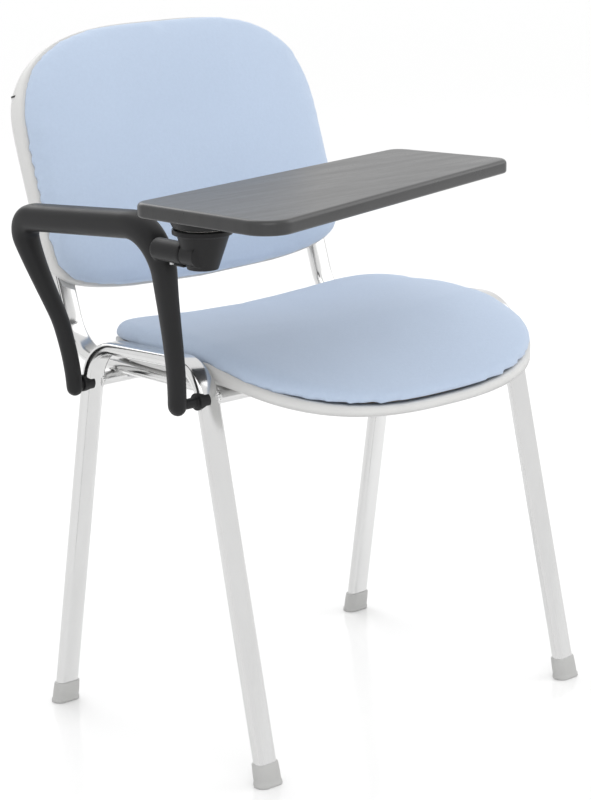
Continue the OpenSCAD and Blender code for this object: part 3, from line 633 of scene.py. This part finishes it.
def padProfile(crown, edge, seam, tuck):
    # (scale of the outline, rise over the edge line): a crowned top, a round shoulder, a tucked underside
    s = np.linspace(0.02, 0.93, 22)
    top = np.stack([s, edge + crown * (1 - s**4)], -1)
    a = np.linspace(0.15, 1, 10) * np.pi / 2
    shoulder = np.stack([0.93 + 0.07 * np.sin(a), -seam + (top[-1, 1] + seam) * np.cos(a)], -1)
    under = np.stack([np.linspace(0.985, 0.02, 16), np.full(16, -seam - tuck)], -1)
    return np.concatenate([top, shoulder, under])


def inflate(obj, voxel, pressure, cap, outward):
    # cloth under air pressure with no gravity; only the move d away from the shell is kept, as the seam
    # holds the outline, and it is held to cap * tanh(d / cap)
    remesh = obj.modifiers.new("remesh", "REMESH")
    remesh.mode, remesh.voxel_size = "VOXEL", voxel
    applyModifiers(obj)
    count = len(obj.data.vertices)
    rest = np.empty(count * 3)
    obj.data.vertices.foreach_get("co", rest)
    rest = rest.reshape(-1, 3)
    cloth = obj.modifiers.new("cloth", "CLOTH")
    cloth.settings.use_pressure = True
    cloth.settings.uniform_pressure_force = pressure
    cloth.settings.effector_weights.gravity = 0.0
    cloth.settings.quality = 6
    cloth.settings.tension_stiffness = 25
    cloth.settings.compression_stiffness = 25
    cloth.settings.bending_stiffness = 2.0
    scene = bpy.context.scene
    for step in range(1, 21):
        scene.frame_set(step)
    moved = np.empty(count * 3)
    graph = bpy.context.evaluated_depsgraph_get()
    obj.evaluated_get(graph).data.vertices.foreach_get("co", moved)
    size = ((moved.reshape(-1, 3) - rest) @ outward)[:, None]
    limited = outward * cap * np.tanh(np.maximum(size, 0) / cap)
    obj.modifiers.clear()
    scene.frame_set(1)
    obj.data.vertices.foreach_set("co", (rest + limited).ravel())
    relax = obj.modifiers.new("relax", "SMOOTH")
    relax.factor, relax.iterations = 0.5, 3
    fine = obj.modifiers.new("fine", "SUBSURF")
    fine.levels = fine.render_levels = 1
    applyModifiers(obj)


def makePad(name, ringAt, profile, cap, node, outward):
    t = np.linspace(0, 2 * np.pi, 160, endpoint=False)
    rings = np.array([ringAt(t, s, r) for s, r in profile]) + origin
    pad = closeRings(name, rings, finishes["cover_fabric"])
    fixNormals(pad)
    inflate(pad, 0.005, 4.0, cap, np.array(outward))
    finishPiece(pad, "chair", "cover_fabric", node)
    return pad


seatPadProfile = padProfile(seatShape["crown"], 0.0, seatShape["edge"], 0.001)
makePad("seatPad", seatRing, seatPadProfile, 0.005, "seat_pad", (0, 0, 1))
print("seat pad made")

backPadProfile = padProfile(backShape["crown"], backShape["edge"], 0.006, 0.001)
makePad("backPad", lambda t, s, r: backRing(t, s, -r), backPadProfile, 0.005, "back_pad",
        (0, -math.cos(chair["recline"]), math.sin(chair["recline"])))
print("back pad made")


seatShellSizes = {"wall": 0.0025, "inset": 0.10, "half": 0.235, "lip": 0.93, "lap": 0.0005, "lowDrop": 0.034}


def makeSeatShell():
    t = np.linspace(0, 2 * np.pi, 200, endpoint=False)
    inset, wall = seatShellSizes["inset"], seatShellSizes["wall"]
    half, lap = seatShellSizes["half"], seatShellSizes["lap"]
    rimTop, rimLow = -seatShape["edge"] + lap, -seatShape["edge"] - seatShape["rim"]
    a = np.linspace(0, np.pi / 2, 12)

    def skin(offset):
        # rim, then a round turn to the flat base under the board
        edge = 1 - offset / half
        found = [ringPoint(t, edge, rimTop, None), ringPoint(t, edge, rimLow, None)]
        for b in a[1:]:
            found.append(ringPoint(t, edge - inset * (1 - math.cos(b)), rimLow, (math.sin(b), offset)))
        for s in np.linspace(1 - inset, 0.02, 12)[1:]:
            found.append(ringPoint(t, s, rimLow, (1.0, offset)))
        return found

    def ringPoint(t, scale, rise, sink):
        ring = seatRing(t, scale, rise)
        if sink is not None:
            amount, lift = sink
            v = (ring[:, 1] - seatShape["middle"]) / (seatShape["middle"] - seatShape["front"])
            fall = np.maximum(0, -0.30 - v) / 0.70
            base = seatShape["base"] - seatShellSizes["lowDrop"] * fall**2 + lift
            ring[:, 2] += (np.minimum(base, ring[:, 2] - 0.0003) - ring[:, 2]) * amount
        return ring

    lip = [ringPoint(t, seatShellSizes["lip"], rise, None) for rise in (rimTop, rimTop - wall)]
    rows = skin(0.0)[::-1] + lip + skin(wall)[1:]
    shell = closeRings("seatShell", np.array(rows) + origin, finishes["shell_plastic"])
    fixNormals(shell)
    return finishPiece(shell, "chair", "shell_plastic", "seat_shell")


makeSeatShell()

backShellSizes = {"wall": 0.0025, "inset": 0.06, "lessInset": 0.03, "rimFront": 0.0054, "lip": 0.93}


def makeBackShell():
    t = np.linspace(0, 2 * np.pi, 200, endpoint=False)
    wall, deep = backShellSizes["wall"], backShape["depth"] - backShape["rim"]
    u, v = superOutline(t, backShape["lowPower"], backShape["highPower"])
    # the turn to the flat rear is tighter beside the ends of the uprights
    inset = backShellSizes["inset"] - backShellSizes["lessInset"] * np.exp(-(((v - 0.5) / 0.25) ** 2))
    a = np.linspace(0, np.pi / 2, 14)[1:]

    def rearRing(scale, turn, offset):
        # the rear is flat: the bow of the rim fades out round the turn
        bow = backShape["bow"] * (u * scale) ** 2
        return backRing(t, scale, backShape["rim"] - offset + (deep + bow) * turn)

    def skin(offset):
        edge = 1 - offset / 0.2
        rows = [backRing(t, edge, backShape["rim"] - offset)]
        rows += [rearRing(edge - inset * (1 - math.cos(b)), math.sin(b), offset) for b in a]
        rows += [rearRing(s * (1 - inset), 1.0, offset) for s in np.linspace(1, 0.02, 14)[1:]]
        return rows

    front, lip = backShellSizes["rimFront"], backShellSizes["lip"]
    rim = [backRing(t, 1.0, front), backRing(t, lip, front), backRing(t, lip, front + wall)]
    shell = closeRings("backShell", np.array(skin(0.0)[::-1] + rim + skin(wall)) + origin,
                       finishes["shell_plastic"])
    fixNormals(shell)
    return finishPiece(shell, "chair", "shell_plastic", "back_shell")


makeBackShell()


def makeBoards():
    # bent plywood under each cover, following its edge line
    t = np.linspace(0, 2 * np.pi, 120, endpoint=False)
    scales = np.linspace(0.02, 0.90, 10)
    low, high = -0.0145, -0.0112
    rows = [seatRing(t, s, high) for s in scales] + [seatRing(t, s, low) for s in scales[::-1]]
    board = closeRings("seatBoard", np.array(rows) + origin, finishes["plywood"])
    fixNormals(board)
    finishPiece(board, "chair", "plywood", "seat_board")
    rows = [backRing(t, s, 0.008) for s in scales] + [backRing(t, s, 0.0125) for s in scales[::-1]]
    board = closeRings("backBoard", np.array(rows) + origin, finishes["plywood"])
    fixNormals(board)
    finishPiece(board, "chair", "plywood", "back_board")


makeBoards()
print("shells and boards made")


armSizes = {
    "corners": [[0.1165, 0.4160], [0.1237, 0.5002], [0.1652, 0.6193], [-0.0988, 0.6416], [-0.0921, 0.4345]],
    "radii": [0, 0.090, 0.0228, 0.0508, 0],
    "postOut": (0.2770, 0.2957),
    "railOut": (0.3120, 0.3180),
    "halfWidth": (0.0095, 0.0177),
    "rearHalf": (0.0100, 0.0160),
    "frontHalf": (0.0121, 0.0160),
}


def between(pair, amount):
    return pair[0] + (pair[1] - pair[0]) * amount


def armLoopRings():
    # the loop leans out and thickens from its posts (up = 0) to its rail (up = 1)
    s = armSizes
    corners = np.array([[0, y, z] for y, z in s["corners"]])
    path = roundedPath(corners, s["radii"], 0.003)
    rear = path[:, 1] > 0.02
    ahead = np.clip((corners[2, 1] - path[:, 1]) / (corners[2, 1] - corners[3, 1]), 0, 1)
    low = np.where(rear, corners[0, 2], corners[4, 2])
    up = np.clip((path[:, 2] - low) / (between(corners[2:4, 2], ahead) - low), 0, 1)
    post = np.where(rear, s["postOut"][0], s["postOut"][1])
    path[:, 0] = -(post + (between(s["railOut"], ahead) - post) * up**2 * (3 - 2 * up))
    halfWide = between(s["halfWidth"], up**2.5)
    halfThick = np.where(rear, between(s["rearHalf"], up**4), between(s["frontHalf"], up**1.6))
    # section: a squarer oval on the rail than on the posts
    a = np.linspace(0, 2 * np.pi, 56, endpoint=False)
    power = (2.05 + 0.65 * up**3)[:, None]
    x = np.sign(np.cos(a)) * np.abs(np.cos(a)) ** (2 / power) * halfWide[:, None]
    y = np.sign(np.sin(a)) * np.abs(np.sin(a)) ** (2 / power) * halfThick[:, None]
    across = np.tile([1.0, 0, 0], (len(path), 1))
    rings = sweep(path, across, np.stack([x, y], -1))
    # round ends: the first and last rings shrink as they go past the post's end
    heading = unit(path[0] - path[1]), unit(path[-1] - path[-2])
    b = np.radians([80, 62, 42, 22])
    ends = []
    for ring, centre, way, half in ((rings[0], path[0], heading[0], halfThick[0]),
                                    (rings[-1], path[-1], heading[1], halfThick[-1])):
        ends.append([centre + (ring - centre) * math.cos(v) + way * half * math.sin(v) for v in b])
    return np.concatenate([ends[0], rings, ends[1][::-1]]) + origin


flipAxis = np.array(frame["joints"][0]["pos_m"])
bossSizes = {"radius": 0.0125, "length": 0.048, "bore": 0.0066}


def makeArm():
    loop = closeRings("armLoop", armLoopRings(), finishes["arm_plastic"])
    fixNormals(loop)
    front = flipAxis[1]
    a = np.linspace(0, 2 * np.pi, 48, endpoint=False)
    r = bossSizes["radius"]
    stations = [[front + bossSizes["length"], r], [front, r], [front, bossSizes["bore"]],
                [front + 0.006, bossSizes["bore"]]]
    rings = np.array([np.stack([flipAxis[0] + rr * np.cos(a), 0 * a + y, flipAxis[2] + rr * np.sin(a)], -1)
                      for y, rr in stations])
    boss = closeRings("boss", rings, finishes["arm_plastic"])
    fixNormals(boss)
    arm = joinPieces("armLoop", [loop, boss])
    voxelSmooth(arm, 0.0016, 5)
    return finishPiece(arm, "chair", "arm_plastic", "arm_loop")


makeArm()
finishPiece(castCopy("arm_spacers", "armSpacers", 0.0007, 2, finishes["arm_plastic"]),
            "chair", "arm_plastic", "arm_spacers")
finishPiece(castCopy("stop_plate", "stopPlate", 0.0007, 2, finishes["arm_plastic"]),
            "chair", "arm_plastic", "stop_plate")
finishPiece(castCopy("knuckle", "knuckleCasting", 0.0007, 3, finishes["arm_plastic"]),
            "swivel_knuckle", "arm_plastic", "knuckle")
finishPiece(castCopy("tablet_hub", "tabletHub", 0.0008, 2, finishes["arm_plastic"]),
            "writing_tablet", "arm_plastic", "tablet_hub")


def makeFrictionPad():
    # thin washer between the knuckle's disc and the hub, a little smaller than both
    low, high = (np.array(c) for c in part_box("friction_disc"))
    middle = (low + high) / 2
    profile = [[0.0080, 0.0], [0.0270, 0.0], [0.0275, 0.0004], [0.0275, 0.0011], [0.0270, 0.0015],
               [0.0080, 0.0015]]
    pad = lathe("frictionPad", profile, [middle[0], middle[1], low[2]], finishes["nylon"])
    fixNormals(pad)
    return finishPiece(pad, "writing_tablet", "nylon", "friction_disc")


makeFrictionPad()
print("arm, knuckle and hub made")


tabletSizes = {
    "outline": [[-0.0556, 0.0537], [-0.0866, -0.1513], [0.4232, -0.1429], [0.4232, 0.0195]],
    "radii": [0.020, 0.032, 0.020, 0.020],
    "yaw": math.radians(13.0),
    "topRound": 0.005,
    "lowRound": 0.003,
}


def tabletOutline():
    # corner arcs: centres and unit directions, so an inset outline is centre + (radius - inset) * direction
    p = np.array(tabletSizes["outline"])
    turn = tabletSizes["yaw"]
    p = p @ np.array([[math.cos(turn), math.sin(turn)], [-math.sin(turn), math.cos(turn)]])
    centres, ways, radii = [], [], []
    for i, r in enumerate(tabletSizes["radii"]):
        a, b = unit(p[i] - p[i - 1]), unit(p[(i + 1) % 4] - p[i])
        bend = math.atan2(a[0] * b[1] - a[1] * b[0], a @ b)
        centre = p[i] - a * r * math.tan(abs(bend) / 2) + np.array([-a[1], a[0]]) * r * np.sign(bend)
        start = math.atan2(a[1], a[0]) - np.sign(bend) * np.pi / 2
        angle = start + np.linspace(0, bend, 14)
        ways.append(np.stack([np.cos(angle), np.sin(angle)], -1))
        centres.append(np.tile(centre, (14, 1)))
        radii.append(np.full(14, r))
    return np.concatenate(centres), np.concatenate(ways), np.concatenate(radii)[:, None]


def makeTablet():
    low, high = (np.array(c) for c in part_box("tablet"))
    swivel = np.array(frame["joints"][1]["pos_m"])
    centres, ways, radii = tabletOutline()
    a = np.linspace(0, np.pi / 2, 7)
    top, bottom = tabletSizes["topRound"], tabletSizes["lowRound"]
    steps = [(0.014, low[2]), (0.008, low[2])]
    steps += [(bottom * (1 - math.sin(v)), low[2] + bottom * (1 - math.cos(v))) for v in a]
    steps += [(0.0, (low[2] + high[2]) / 2)]
    steps += [(top * (1 - math.cos(v)), high[2] - top * (1 - math.sin(v))) for v in a]
    steps += [(0.008, high[2]), (0.014, high[2])]
    rings = []
    for inset, z in steps:
        flat = swivel[:2] + centres + (radii - inset) * ways
        rings.append(np.concatenate([flat, np.full((len(flat), 1), z)], -1))
    tablet = closeRings("writingTablet", np.array(rings), finishes["tablet_plastic"])
    fixNormals(tablet)
    return finishPiece(tablet, "writing_tablet", "tablet_plastic", "tablet")


makeTablet()
print("tablet made")


def makeFloor():
    size = 14.0
    floor = addMesh("floor", [[-size, -size, 0], [size, -size, 0], [size, size, 0], [-size, size, 0]],
                    [[0, 1, 2, 3]], (), None, smooth=False)
    material, tree, shader = newMaterial("paleFloor", {
        "Base Color": (0.90, 0.90, 0.90, 1), "Roughness": 0.12, "Specular IOR Level": 0.5})
    floor.data.materials.append(material)


def makeLights():
    world = bpy.data.worlds.new("studio")
    bpy.context.scene.world = world
    world.use_nodes = True
    world.node_tree.nodes["Background"].inputs["Color"].default_value = (1, 1, 1, 1)
    world.node_tree.nodes["Background"].inputs["Strength"].default_value = 1.04
    for name, place, size, power in (("keyLight", (-1.6, -2.4, 3.2), 2.6, 26),
                                     ("fillLight", (2.8, -1.2, 2.2), 2.4, 18),
                                     ("rimLight", (0.6, 2.8, 2.6), 2.0, 25)):
        data = bpy.data.lights.new(name, "AREA")
        data.shape, data.size, data.energy = "SQUARE", size, power
        light = bpy.data.objects.new(name, data)
        light.location = place
        light.rotation_euler = (Vector((0, 0, 0.45)) - Vector(place)).to_track_quat("-Z", "Y").to_euler()
        bpy.context.scene.collection.objects.link(light)


cameraView = {
    "azimuth": math.radians(-42.88),
    "elevation": math.radians(14.06),
    "distance": 3.1665,
    "target": (-0.0160, 0.0149, 0.3729),
    "roll": math.radians(-0.46),
    "lens": 116.53,
}


def makeCamera():
    data = bpy.data.cameras.new("camera")
    data.lens, data.sensor_width, data.sensor_fit = cameraView["lens"], 36.0, "AUTO"
    camera = bpy.data.objects.new("camera", data)
    az, el = cameraView["azimuth"], cameraView["elevation"]
    target = Vector(cameraView["target"]) + Vector(origin)
    away = Vector((math.sin(az) * math.cos(el), -math.cos(az) * math.cos(el), math.sin(el)))
    camera.location = target + away * cameraView["distance"]
    aim = (-away).to_track_quat("-Z", "Y").to_matrix() @ Matrix.Rotation(cameraView["roll"], 3, "Z")
    camera.rotation_euler = aim.to_euler()
    bpy.context.scene.collection.objects.link(camera)
    bpy.context.scene.camera = camera


makeFloor()
makeLights()
makeCamera()
bpy.context.scene.view_settings.view_transform = "Standard"
print("floor, lights and camera made")
